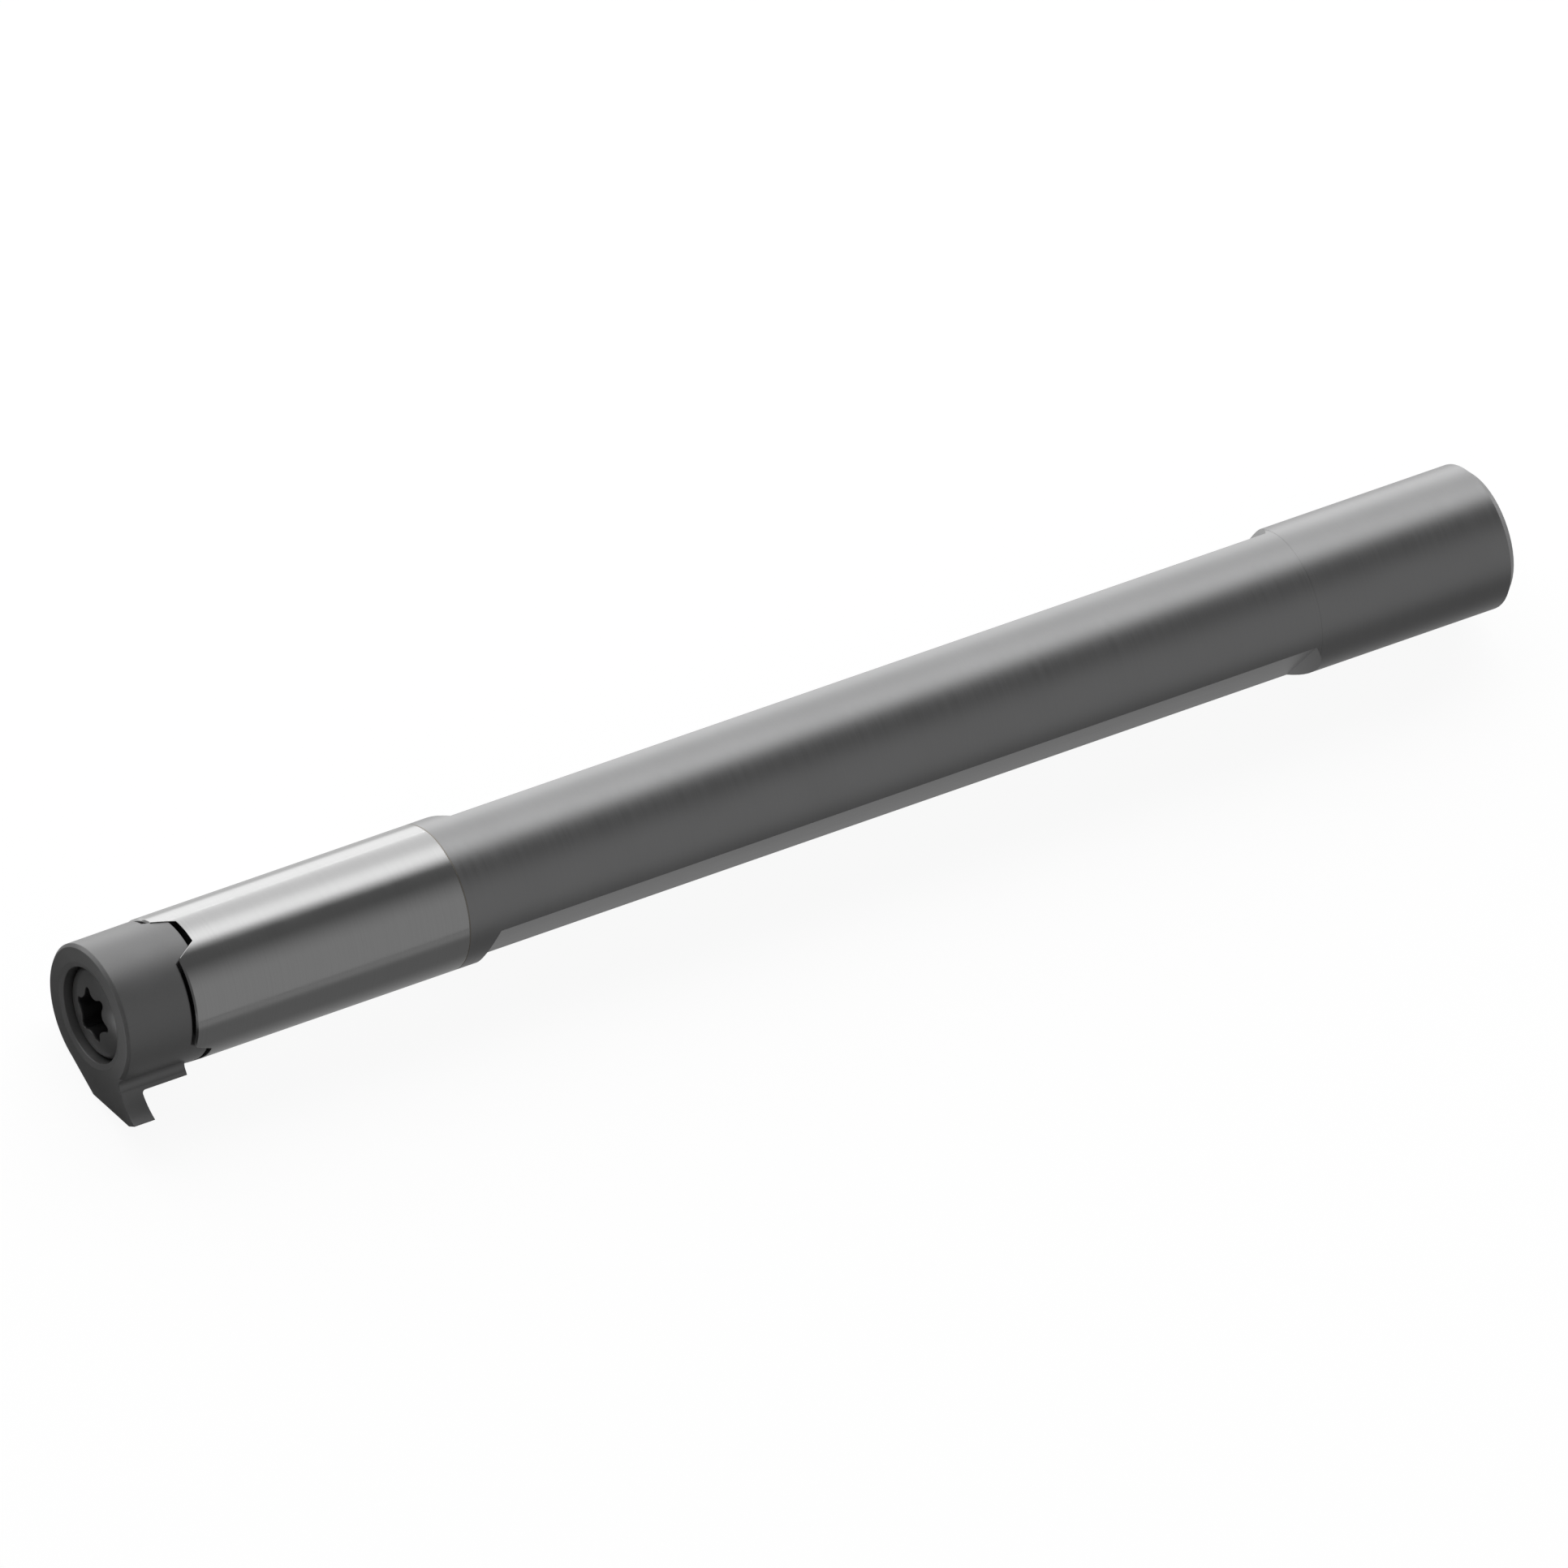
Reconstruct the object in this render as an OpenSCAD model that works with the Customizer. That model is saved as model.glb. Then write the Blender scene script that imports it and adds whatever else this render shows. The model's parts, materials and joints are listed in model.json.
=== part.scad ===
// Round internal grooving bar with a screw-clamped head.
//
// A steel nose is brazed to the front of a long carbide shank. A pressed
// carbide head with one grooving blade sits on a toothed coupling cut in
// the nose, and one dome-headed screw on the bar's axis clamps it.
//
// Origin: centre of the shank's rear end face.
// +X runs along the bar and out of its rear end, and +Z is up.
// The bar lies on its side as it comes to rest: it has rolled until the
// relief corner of the head stands just clear of the surface under the bar.
// All sizes are in millimetres and all angles in degrees.

/* [Bar] */
// Diameter of the round bar, nose and shank alike
bar_diameter = 12; // [11.7:0.1:14]
// Length of the carbide shank, from the braze to the rear end
shank_length = 97.4; // [96:0.1:140]
// Distance across the two clamping flats
across_flats = 10; // [9:0.1:11]
// Length of each clamping flat, without its end ramps
flat_length = 75.7; // [30:0.1:76]
// Plain round length left behind the flats
rear_land = 18.85; // [10:0.05:19]
// Slope of the ramps at the ends of the flats
ramp_angle = 45; // [35:1:70]
// How far the round surface beside the flats is ground below the end lands
land_relief = 0.01; // [0.005:0.005:0.05]
// Chamfer round the rear end
rear_chamfer = 0.7; // [0.3:0.1:1.5]

/* [Nose] */
// Length of the steel nose, from its front land to the braze
nose_length = 25.1; // [18:0.1:40]
// Thickness of the braze layer between nose and shank
braze_thickness = 0.1; // [0.05:0.01:0.3]
// Diameter of the spigot that centres the nose in the shank
spigot_diameter = 6; // [4:0.1:8]
// Length of the spigot inside the shank
spigot_length = 4; // [2:0.1:8]
// Clearance round the spigot and at its end
spigot_clearance = 0.05; // [0.02:0.01:0.1]
// Break on the outer edge of the nose's front land
nose_edge = 0.15; // [0.05:0.01:0.3]

/* [Coupling] */
// Number of coupling teeth on the head, and of slots in the nose
tooth_count = 3; // [2:1:4]
// Width of a tooth across its tip
tooth_tip_width = 3.1; // [2.4:0.1:3.4]
// Height of a tooth above the head's rear face
tooth_height = 1.6; // [1.2:0.05:2]
// Slope of the tooth flanks, away from the bar's axis direction
flank_angle = 30; // [20:1:35]
// Gap between the head's rear face and the nose's front land
face_gap = 0.3; // [0.1:0.05:0.6]
// Gap between a tooth's tip and the floor of its slot
tip_gap = 0.54; // [0.2:0.02:0.8]
// Chamfer on the long edges of a tooth's tip
tip_chamfer = 0.2; // [0.1:0.05:0.4]
// Diameter of the relief inside the ring of slots
relief_diameter = 6.4; // [5.6:0.1:7.5]

/* [Cutting head] */
// Diameter of the head's round body at its front face
head_diameter = 11.8; // [11.2:0.1:11.9]
// Pressing draft, by which the round body widens towards its rear
press_draft = 0.25; // [0.1:0.05:0.4]
// Length of the head, from its front face to its rear face
head_length = 6; // [5:0.05:8]
// Chamfer round the head's front face
head_edge = 0.25; // [0.1:0.05:0.5]
// Chamfer round the head's rear face
head_rear_edge = 0.15; // [0.1:0.05:0.4]
// Depth of the seat that the screw's head bears on
seat_depth = 3.4; // [3:0.1:4]
// Clearance between the screw's head and the bore round it
counterbore_clearance = 0.15; // [0.1:0.05:0.4]
// Width of the chamfer at the mouth of that bore
mouth_width = 0.45; // [0.2:0.05:0.6]
// Depth of the same chamfer
mouth_depth = 0.2; // [0.1:0.05:0.4]

/* [Blade] */
// Reach of the cutting edge, from the bar's axis
blade_reach = 9.45; // [8:0.05:11]
// Width of the blade at its cutting edge
blade_width = 1.9; // [1.2:0.1:3]
// Side relief, by which the blade narrows towards its root
side_relief = 1; // [0:0.5:5]
// Angle of the blade past its nearest coupling tooth
blade_clock = 2.4; // [0:0.1:10]
// Width of the land behind the cutting edge
land_width = 0.91; // [0.4:0.01:1.2]
// Clearance angle of that land
land_clearance = 18.8; // [7:0.1:25]
// Clearance angle of the blade's flank below the land
flank_clearance = 46.9; // [40:0.1:55]
// Depth of the hollow that curls the chip
hollow_depth = 0.22; // [0.05:0.01:0.3]
// Reach of the foot behind the blade, at its rake side
foot_reach = 6.95; // [6.6:0.01:7.2]
// Slope of the foot's underside
foot_slope = 18.6; // [10:0.1:22]
// Lean of the flat on the foot's relief side
foot_lean = 13.6; // [10:0.1:16]
// How far that flat lies inside the head's round body
side_inset = 0.02; // [0.01:0.01:0.15]
// Fillet between the rake face and the round body
rake_fillet = 0.8; // [0.5:0.05:1]
// Fillet between the blade's side and the foot
root_fillet = 0.3; // [0.1:0.05:0.6]

/* [Clamp screw] */
// Outer diameter of the screw's thread
screw_diameter = 5; // [4:0.1:5.2]
// Length of the screw under its head
screw_length = 12; // [9:0.5:16]
// Diameter of the screw's head
screw_head_diameter = 7.7; // [7:0.1:8]
// Height of the screw's head at its rim
screw_head_height = 2.65; // [2.4:0.05:2.9]
// Rise of the dome above the rim
dome_height = 0.65; // [0.2:0.05:0.8]
// Chamfer round the rim
rim_chamfer = 0.2; // [0.1:0.05:0.4]
// Size of the six-lobe socket, point to point
socket_size = 4.5; // [4:0.1:4.8]
// Depth of the socket below the top of the dome
socket_depth = 2.2; // [1.6:0.1:2.4]
// Chamfer at the screw's tip
screw_tip_chamfer = 0.6; // [0.3:0.1:1]
// Clearance between the screw and the hole through the head
hole_clearance = 0.15; // [0.1:0.05:0.3]
// Clearance between the thread and its hole in the nose
thread_clearance = 0.05; // [0.02:0.01:0.1]
// Depth of the tapped hole past the screw's tip
tap_runout = 1.5; // [0.5:0.1:4]

/* [Hidden] */
$fn = 96;

// Radii
bar_r = bar_diameter / 2;
head_r = head_diameter / 2;
spigot_r = spigot_diameter / 2;
socket_r = spigot_r + spigot_clearance;
screw_r = screw_diameter / 2;
screw_head_r = screw_head_diameter / 2;
counterbore_r = screw_head_r + counterbore_clearance;
relief_r = relief_diameter / 2;

// Stations along the bar, from the rear end forwards
x_shank_front = -shank_length;
x_nose_rear = x_shank_front - braze_thickness;
x_land = x_nose_rear - nose_length;
x_head_rear = x_land - face_gap;
x_head_front = x_head_rear - head_length;
x_tooth_tip = x_head_rear + tooth_height;
x_slot_floor = x_tooth_tip + tip_gap;
x_seat = x_head_front + seat_depth;
x_rim = x_seat - screw_head_height;
x_dome = x_rim - dome_height;
x_screw_tip = x_seat + screw_length;
x_tap_end = x_screw_tip + tap_runout;

// How far a cutter runs past what it cuts, and how deep a tooth is rooted
past = 2;
tooth_root = 0.6;

// Front end of the blank that head and blade are trimmed from by one plane
x_blank_front = x_head_front - past / 2;

// Half of the point angle that a twist drill leaves at the end of its hole
drill_half_angle = 59;

// Half height of the clamping flats, and half the length of their ramps
flat_r = across_flats / 2;
half_ramp = (bar_r - flat_r) / tan(ramp_angle) / 2;

// Ends of the flats, with at least a short round land left in front of them
front_land = 0.5;
x_flats_rear = -rear_land;
x_flats_front = max(x_flats_rear - flat_length, x_shank_front + front_land + 2 * half_ramp);

// Blade section: y is the side that the rake face looks to, z is outward
land_corner = [-land_width, blade_reach - land_width * tan(land_clearance)];
side_distance = head_r - side_inset;
side_normal = [-cos(foot_lean), sin(foot_lean)];
flank_normal = [-sin(flank_clearance), cos(flank_clearance)];
relief_corner = crossing(side_normal, side_distance, flank_normal, land_corner * flank_normal);
side_start = side_distance * side_normal;

// Centre of the rake fillet: it runs just into the round body
fillet_sink = 0.03;
fillet_z = sqrt(pow(head_r + rake_fillet, 2) - pow(rake_fillet, 2)) - fillet_sink;

// Radius of the chip hollow, and half its width from the fillet to the cutting edge
hollow_half = (blade_reach - fillet_z) / 2;
hollow_r = (pow(hollow_half, 2) + pow(hollow_depth, 2)) / (2 * hollow_depth);

// Steps in the arc of the fillet at the blade's root
arc_steps = 10;

// Roll of the bar about its axis as it rests on its round side, with the relief
// corner of the head this far above the surface
corner_height = 0.06;
corner_reach = norm(relief_corner);
corner_clock = atan2(-relief_corner[0], relief_corner[1]);
rest_roll = 180 - acos((bar_r - corner_height) / corner_reach) - corner_clock - blade_clock;

// Radius of the sphere that gives the screw's dome its rise
dome_r = (pow(screw_head_r, 2) + pow(dome_height, 2)) / (2 * dome_height);

// Six-lobe socket: lobe and waist radii as shares of its size
lobes = 6;
lobe_step = 360 / lobes;
waist_r = 0.3633 * socket_size;
lobe_r = 0.0867 * socket_size;
lobe_centre = socket_size / 2 - lobe_r;
lobe_overlap = 0.01;
scallop_r = (pow(lobe_centre, 2) + pow(waist_r, 2) - pow(lobe_r, 2)
    - 2 * lobe_centre * waist_r * cos(lobe_step / 2))
    / (2 * (lobe_centre * cos(lobe_step / 2) - waist_r + lobe_r)) - lobe_overlap;
socket_clock = 56;

// Point where two lines cross, each given by its normal and its distance
function crossing(n1, d1, n2, d2) =
    let (det = n1[0] * n2[1] - n1[1] * n2[0])
    [(d1 * n2[1] - d2 * n1[1]) / det, (d2 * n1[0] - d1 * n2[0]) / det];

// Points of an arc, from one angle to another
function arc(centre, r, from, to, steps) =
    [for (i = [0:steps]) let (a = from + (to - from) * i / steps) centre + r * [cos(a), sin(a)]];

// Turns a bar drawn with its first tooth upward into its resting place
module at_rest() {
    rotate([rest_roll, 0, 0]) children();
}

// Solid turned about the X axis from [radius, x] points
module turned(profile) {
    rotate([0, 90, 0]) rotate_extrude() polygon(profile);
}

// Round rod or bore along X between two stations
module rod(r, x_from, x_to) {
    translate([x_from, 0, 0]) rotate([0, 90, 0]) cylinder(r = r, h = x_to - x_from);
}

// Cone along X between two stations
module cone(r_from, r_to, x_from, x_to) {
    translate([x_from, 0, 0]) rotate([0, 90, 0]) cylinder(r1 = r_from, r2 = r_to, h = x_to - x_from);
}

// Section drawn across the bar, pushed along X between two stations
module across(x_from, x_to) {
    translate([x_from, 0, 0]) rotate([90, 0, 90]) linear_extrude(x_to - x_from) children();
}

// Section drawn in the plane of the axis and the blade, pushed both ways sideways
module sideways(width) {
    rotate([90, 0, 0]) linear_extrude(width, center = true) children();
}

// Repeats a shape at every tooth of the coupling
module each_tooth() {
    for (i = [0:tooth_count - 1])
        rotate([i * 360 / tooth_count, 0, 0]) children();
}

// Radius of the head's round body at a station
function head_radius(x) = head_r + (x - x_head_front) * tan(press_draft);

// Half width of a tooth or slot where its flanks cross a station
function flank_half(x) = tooth_tip_width / 2 + (x_tooth_tip - x) * tan(flank_angle);

// One coupling tooth, pushed outward from the axis
module tooth() {
    half_root = flank_half(x_head_rear - tooth_root);
    half_tip = flank_half(x_tooth_tip - tip_chamfer);
    half_end = half_tip - tip_chamfer;
    linear_extrude(bar_r + past) polygon([
        [x_head_rear - tooth_root, -half_root],
        [x_tooth_tip - tip_chamfer, -half_tip],
        [x_tooth_tip, -half_end],
        [x_tooth_tip, half_end],
        [x_tooth_tip - tip_chamfer, half_tip],
        [x_head_rear - tooth_root, half_root]
    ]);
}

// One coupling slot, with the same flanks and a deeper floor
module slot() {
    half_mouth = flank_half(x_land - past);
    half_floor = flank_half(x_slot_floor);
    linear_extrude(bar_r + past) polygon([
        [x_land - past, -half_mouth],
        [x_slot_floor, -half_floor],
        [x_slot_floor, half_floor],
        [x_land - past, half_mouth]
    ]);
}

// Round cutter for the chip hollow: its arc runs from the fillet to the cutting edge
module chip_hollow() {
    overlap = rake_fillet * hollow_half / hollow_r;
    intersection() {
        translate([hollow_r - hollow_depth, fillet_z + hollow_half]) circle(hollow_r);
        translate([-hollow_r, fillet_z - overlap]) square([2 * hollow_r, blade_reach]);
    }
}

// Outline of blade and foot, seen along the bar
module blade_outline() {
    difference() {
        polygon([
            [rake_fillet, 0],
            [rake_fillet, blade_reach + rake_fillet * tan(land_clearance)],
            land_corner,
            relief_corner,
            side_start,
            [0, 0]
        ]);
        translate([rake_fillet, fillet_z]) circle(rake_fillet);
        chip_hollow();
    }
}

// Space behind the blade and under the foot, with a fillet at the blade's root
module rear_relief() {
    floor_z = foot_reach * cos(foot_slope);
    top_z = blade_reach + past;
    x_root = x_head_front + blade_width - (blade_reach - foot_reach) * tan(side_relief);
    x_top = x_root + (top_z - floor_z) * tan(side_relief);
    rotate([foot_slope, 0, 0]) sideways(2 * (blade_reach + past)) polygon(concat(
        [[x_top, top_z]],
        arc([x_root + root_fillet, floor_z + root_fillet], root_fillet, 180, 270, arc_steps),
        [[x_head_rear + past, floor_z], [x_head_rear + past, top_z]]
    ));
}

// Chamfer along the front edge of the foot's relief side
module side_chamfer() {
    rotate([90 - foot_lean, 0, 0]) sideways(4 * head_r) polygon([
        [x_head_front - past, side_distance - head_edge - past],
        [x_head_front + head_edge + past, side_distance + past],
        [x_head_front - past, side_distance + past]
    ]);
}

// Seat, clearance hole and chamfered mouth for the clamp screw
module screw_passage() {
    mouth_r = counterbore_r + mouth_width * (past + mouth_depth) / mouth_depth;
    rod(counterbore_r, x_head_front - past, x_seat);
    rod(screw_r + hole_clearance, x_head_front, x_tooth_tip + past);
    cone(mouth_r, counterbore_r, x_head_front - past, x_head_front + mouth_depth);
}

module cutting_head() {
    x_front_edge = x_head_front + head_edge;
    x_rear_edge = x_head_rear - head_rear_edge;
    x_root = x_head_rear - tooth_root;
    blank_r = head_radius(x_front_edge) - (x_front_edge - x_blank_front);
    color([0.27, 0.27, 0.28]) at_rest() difference() {
        union() {
            turned([
                [0, x_blank_front],
                [blank_r, x_blank_front],
                [head_radius(x_front_edge), x_front_edge],
                [head_radius(x_rear_edge), x_rear_edge],
                [head_radius(x_head_rear) - head_rear_edge, x_head_rear],
                [0, x_head_rear]
            ]);
            intersection() {
                each_tooth() tooth();
                cone(head_radius(x_root), head_radius(x_tooth_tip), x_root, x_tooth_tip);
            }
            rotate([blade_clock, 0, 0]) difference() {
                across(x_blank_front, x_head_rear) blade_outline();
                rear_relief();
                side_chamfer();
            }
        }
        rod(blade_reach + past, x_head_front - past, x_head_front);
        screw_passage();
    }
}

// Six-lobe outline of the driving socket
module six_lobe() {
    difference() {
        circle(lobe_centre);
        for (i = [0:lobes - 1])
            rotate((i + 0.5) * lobe_step) translate([waist_r + scallop_r, 0]) circle(scallop_r);
    }
    for (i = [0:lobes - 1])
        rotate(i * lobe_step) translate([lobe_centre, 0]) circle(lobe_r);
}

module clamp_screw() {
    socket_floor = x_dome + socket_depth;
    color([0.2, 0.2, 0.21]) at_rest() difference() {
        union() {
            intersection() {
                turned([
                    [0, x_dome],
                    [screw_head_r - rim_chamfer - dome_height, x_dome],
                    [screw_head_r, x_rim + rim_chamfer],
                    [screw_head_r, x_seat],
                    [0, x_seat]
                ]);
                translate([x_dome + dome_r, 0, 0]) sphere(dome_r);
            }
            turned([
                [0, x_seat - tooth_root],
                [screw_r, x_seat - tooth_root],
                [screw_r, x_screw_tip - screw_tip_chamfer],
                [screw_r - screw_tip_chamfer, x_screw_tip],
                [0, x_screw_tip]
            ]);
        }
        across(x_dome - past, socket_floor) rotate(socket_clock) six_lobe();
        cone(waist_r, 0, socket_floor, socket_floor + waist_r / tan(drill_half_angle));
    }
}

module steel_nose() {
    tap_r = screw_r + thread_clearance;
    color([0.78, 0.78, 0.79]) at_rest() difference() {
        turned([
            [0, x_land],
            [bar_r - nose_edge, x_land],
            [bar_r, x_land + nose_edge],
            [bar_r, x_nose_rear],
            [spigot_r, x_nose_rear],
            [spigot_r, x_shank_front + spigot_length],
            [0, x_shank_front + spigot_length]
        ]);
        each_tooth() slot();
        rod(relief_r, x_land - past, x_slot_floor);
        rod(tap_r, x_land - past, x_tap_end);
        cone(tap_r, 0, x_tap_end, x_tap_end + tap_r / tan(drill_half_angle));
    }
}

module braze_layer() {
    color([0.72, 0.66, 0.5]) at_rest() difference() {
        rod(bar_r, x_nose_rear, x_shank_front);
        rod(socket_r, x_nose_rear - past, x_shank_front + past);
    }
}

// Clamping flat with a ramp at each end
module clamping_flat() {
    spread = past / tan(ramp_angle);
    sideways(2 * (bar_r + past)) polygon([
        [x_flats_front, flat_r],
        [x_flats_rear, flat_r],
        [x_flats_rear + spread, flat_r + past],
        [x_flats_front - spread, flat_r + past]
    ]);
}

module carbide_shank() {
    color([0.36, 0.36, 0.37]) at_rest() difference() {
        turned([
            [0, x_shank_front],
            [bar_r, x_shank_front],
            [bar_r, x_flats_front - half_ramp],
            [bar_r - land_relief, x_flats_front - half_ramp],
            [bar_r - land_relief, x_flats_rear + half_ramp],
            [bar_r, x_flats_rear + half_ramp],
            [bar_r, -rear_chamfer],
            [bar_r - rear_chamfer, 0],
            [0, 0]
        ]);
        for (side = [0, 180])
            rotate([side, 0, 0]) clamping_flat();
        rod(socket_r, x_shank_front - past, x_shank_front + spigot_length + spigot_clearance);
    }
}

cutting_head();
clamp_screw();
steel_nose();
braze_layer();
carbide_shank();
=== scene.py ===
"""Round internal grooving bar, dressed for a studio picture.

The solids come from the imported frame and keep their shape. This file gives
each of them its finish, replaces the plain clamp screw with a threaded one,
and sets up the floor, the soft lamps and the camera.

Lengths in the panel are in metres, and the bar lies along the X axis with
its head towards -X. Clock angles go round the bar's axis as the camera sees
it: 0 is upward across the bar in the picture, and 90 is towards the camera.
"""

import json
import math

import bmesh
import bpy
from bpy.props import FloatProperty, FloatVectorProperty, IntProperty, PointerProperty
from mathutils import Matrix, Vector


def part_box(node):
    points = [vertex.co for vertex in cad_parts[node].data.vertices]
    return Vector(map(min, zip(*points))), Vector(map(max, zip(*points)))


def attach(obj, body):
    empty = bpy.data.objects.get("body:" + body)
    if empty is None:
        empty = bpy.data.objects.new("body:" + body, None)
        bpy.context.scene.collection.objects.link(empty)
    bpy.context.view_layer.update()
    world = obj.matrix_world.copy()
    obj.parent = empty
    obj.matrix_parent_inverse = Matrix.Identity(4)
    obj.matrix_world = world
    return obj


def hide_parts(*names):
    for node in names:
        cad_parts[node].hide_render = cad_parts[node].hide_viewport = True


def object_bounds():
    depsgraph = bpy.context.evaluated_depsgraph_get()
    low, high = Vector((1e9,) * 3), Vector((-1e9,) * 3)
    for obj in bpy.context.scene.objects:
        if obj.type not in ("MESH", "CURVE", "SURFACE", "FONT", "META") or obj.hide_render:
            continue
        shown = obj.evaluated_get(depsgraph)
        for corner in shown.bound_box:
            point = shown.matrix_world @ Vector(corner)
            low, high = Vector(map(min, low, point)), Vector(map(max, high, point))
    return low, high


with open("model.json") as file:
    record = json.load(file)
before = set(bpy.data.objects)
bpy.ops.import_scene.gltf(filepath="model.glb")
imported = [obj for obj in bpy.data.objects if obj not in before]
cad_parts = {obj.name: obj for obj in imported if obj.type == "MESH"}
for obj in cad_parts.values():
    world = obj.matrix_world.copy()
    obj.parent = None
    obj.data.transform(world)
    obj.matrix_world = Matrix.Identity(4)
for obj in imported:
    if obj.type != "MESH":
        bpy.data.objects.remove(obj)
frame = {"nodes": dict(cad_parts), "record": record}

bl_info = {
    "name": "Grooving bar",
    "version": (1, 0, 0),
    "blender": (4, 5, 0),
    "location": "3D View > Sidebar > Grooving bar",
    "description": "Finishes a round internal grooving bar and sets up its studio",
    "category": "Object",
}

CAD_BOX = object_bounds()
MM = 0.001
WHITE = (1, 1, 1, 1)

# Direction that the flat beside the blade faces, and the turn of the bar that it tells
FLAT_MOUNT = next(m for m in frame["record"]["mounts"] if m["name"] == "clamp_flat_near_blade")
FLAT_FACES = Vector(FLAT_MOUNT["axis"])
ROLL = math.atan2(-FLAT_FACES.y, FLAT_FACES.z)

# How the camera sees the bar, measured in the photograph: the slope of its axis in the
# picture, the share of its length that points at the camera, and the clock angle of that flat
PICTURE_SLOPE = math.radians(19.138)
FORESHORTENING = 0.4462
FLAT_CLOCK = math.radians(169.2)

# Clock angle of the row frame's upward direction
UP_CLOCK = FLAT_CLOCK - ROLL


def seen_axes():
    """Camera's right, up and back directions, as the columns of a matrix in the row frame."""
    across = math.sqrt(1 - FORESHORTENING**2)
    along = Vector((
        math.cos(PICTURE_SLOPE) * across, math.sin(PICTURE_SLOPE) * across, -FORESHORTENING))
    upward = Vector((-math.sin(PICTURE_SLOPE), math.cos(PICTURE_SLOPE), 0))
    toward = upward.cross(along) * -1
    z_seen = math.cos(UP_CLOCK) * upward + math.sin(UP_CLOCK) * toward
    y_seen = math.sin(UP_CLOCK) * upward - math.cos(UP_CLOCK) * toward
    return Matrix((along, y_seen, z_seen))


def clock_direction(degrees):
    """Direction across the bar at a clock angle, in the row frame."""
    angle = math.radians(degrees) - UP_CLOCK
    return Vector((0, -math.sin(angle), math.cos(angle)))


# ---------------------------------------------------------------- settings


class BarFinishes(bpy.types.PropertyGroup):
    """Colours and roughness of the bar's finishes."""

    pressed_color: FloatVectorProperty(
        name="Pressed carbide", description="Colour of the cutting head",
        subtype="COLOR", size=3, min=0, max=1, default=(0.235, 0.235, 0.237))
    pressed_roughness: FloatProperty(
        name="Pressed roughness", description="Roughness of the cutting head",
        min=0, max=1, default=0.50)
    screw_color: FloatVectorProperty(
        name="Blackened steel", description="Colour of the clamp screw",
        subtype="COLOR", size=3, min=0, max=1, default=(0.060, 0.060, 0.061))
    dome_color: FloatVectorProperty(
        name="Rubbed dome", description="Colour of the screw's dome, where the black is rubbed",
        subtype="COLOR", size=3, min=0, max=1, default=(0.190, 0.190, 0.191))
    screw_roughness: FloatProperty(
        name="Screw roughness", description="Roughness of the clamp screw",
        min=0, max=1, default=0.28)
    nose_color: FloatVectorProperty(
        name="Polished steel", description="Colour of the nose",
        subtype="COLOR", size=3, min=0, max=1, default=(0.54, 0.54, 0.54))
    nose_roughness: FloatProperty(
        name="Nose roughness", description="Roughness of the nose",
        min=0, max=1, default=0.14)
    shank_color: FloatVectorProperty(
        name="Ground carbide", description="Colour of the shank",
        subtype="COLOR", size=3, min=0, max=1, default=(0.335, 0.335, 0.338))
    shank_roughness: FloatProperty(
        name="Shank roughness", description="Roughness of the shank",
        min=0, max=1, default=0.36)
    braze_color: FloatVectorProperty(
        name="Silver braze", description="Colour of the braze line",
        subtype="COLOR", size=3, min=0, max=1, default=(0.30, 0.28, 0.25))
    braze_roughness: FloatProperty(
        name="Braze roughness", description="Roughness of the braze line",
        min=0, max=1, default=0.42)


class ScrewSizes(bpy.types.PropertyGroup):
    """Sizes of the clamp screw's thread and socket."""

    pitch: FloatProperty(
        name="Thread pitch", description="Distance between two turns of the thread",
        unit="LENGTH", min=0.0004, max=0.0012, default=0.0008, precision=5)
    thread_radius: FloatProperty(
        name="Thread radius", description="Outer radius of the thread",
        unit="LENGTH", min=0.002, max=0.003, default=0.00248, precision=5)
    neck_radius: FloatProperty(
        name="Neck radius", description="Radius of the plain neck under the head",
        unit="LENGTH", min=0.0018, max=0.0025, default=0.0021, precision=5)
    neck_length: FloatProperty(
        name="Neck length", description="Length of the plain neck under the head",
        unit="LENGTH", min=0.0, max=0.006, default=0.0042, precision=5)
    head_height: FloatProperty(
        name="Head height", description="Height of the head at its rim",
        unit="LENGTH", min=0.001, max=0.004, default=0.00265, precision=5)
    dome_height: FloatProperty(
        name="Dome height", description="Rise of the dome above the rim",
        unit="LENGTH", min=0.0002, max=0.001, default=0.00065, precision=5)
    rim_chamfer: FloatProperty(
        name="Rim chamfer", description="Chamfer round the rim",
        unit="LENGTH", min=0.0001, max=0.0005, default=0.0002, precision=5)
    socket_size: FloatProperty(
        name="Socket size", description="Six-lobe socket, point to point",
        unit="LENGTH", min=0.003, max=0.006, default=0.0045, precision=5)
    socket_depth: FloatProperty(
        name="Socket depth", description="Depth of the socket below the dome's top",
        unit="LENGTH", min=0.001, max=0.003, default=0.0022, precision=5)
    socket_clock: FloatProperty(
        name="Socket clock", description="Turn of the socket, from the flat beside the blade",
        subtype="ANGLE", default=math.radians(56))
    tip_chamfer: FloatProperty(
        name="Tip chamfer", description="Chamfer at the screw's tip",
        unit="LENGTH", min=0.0, max=0.001, default=0.0006, precision=5)
    facets: IntProperty(
        name="Facets", description="Facets round the screw", min=24, max=192, default=96)


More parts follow.
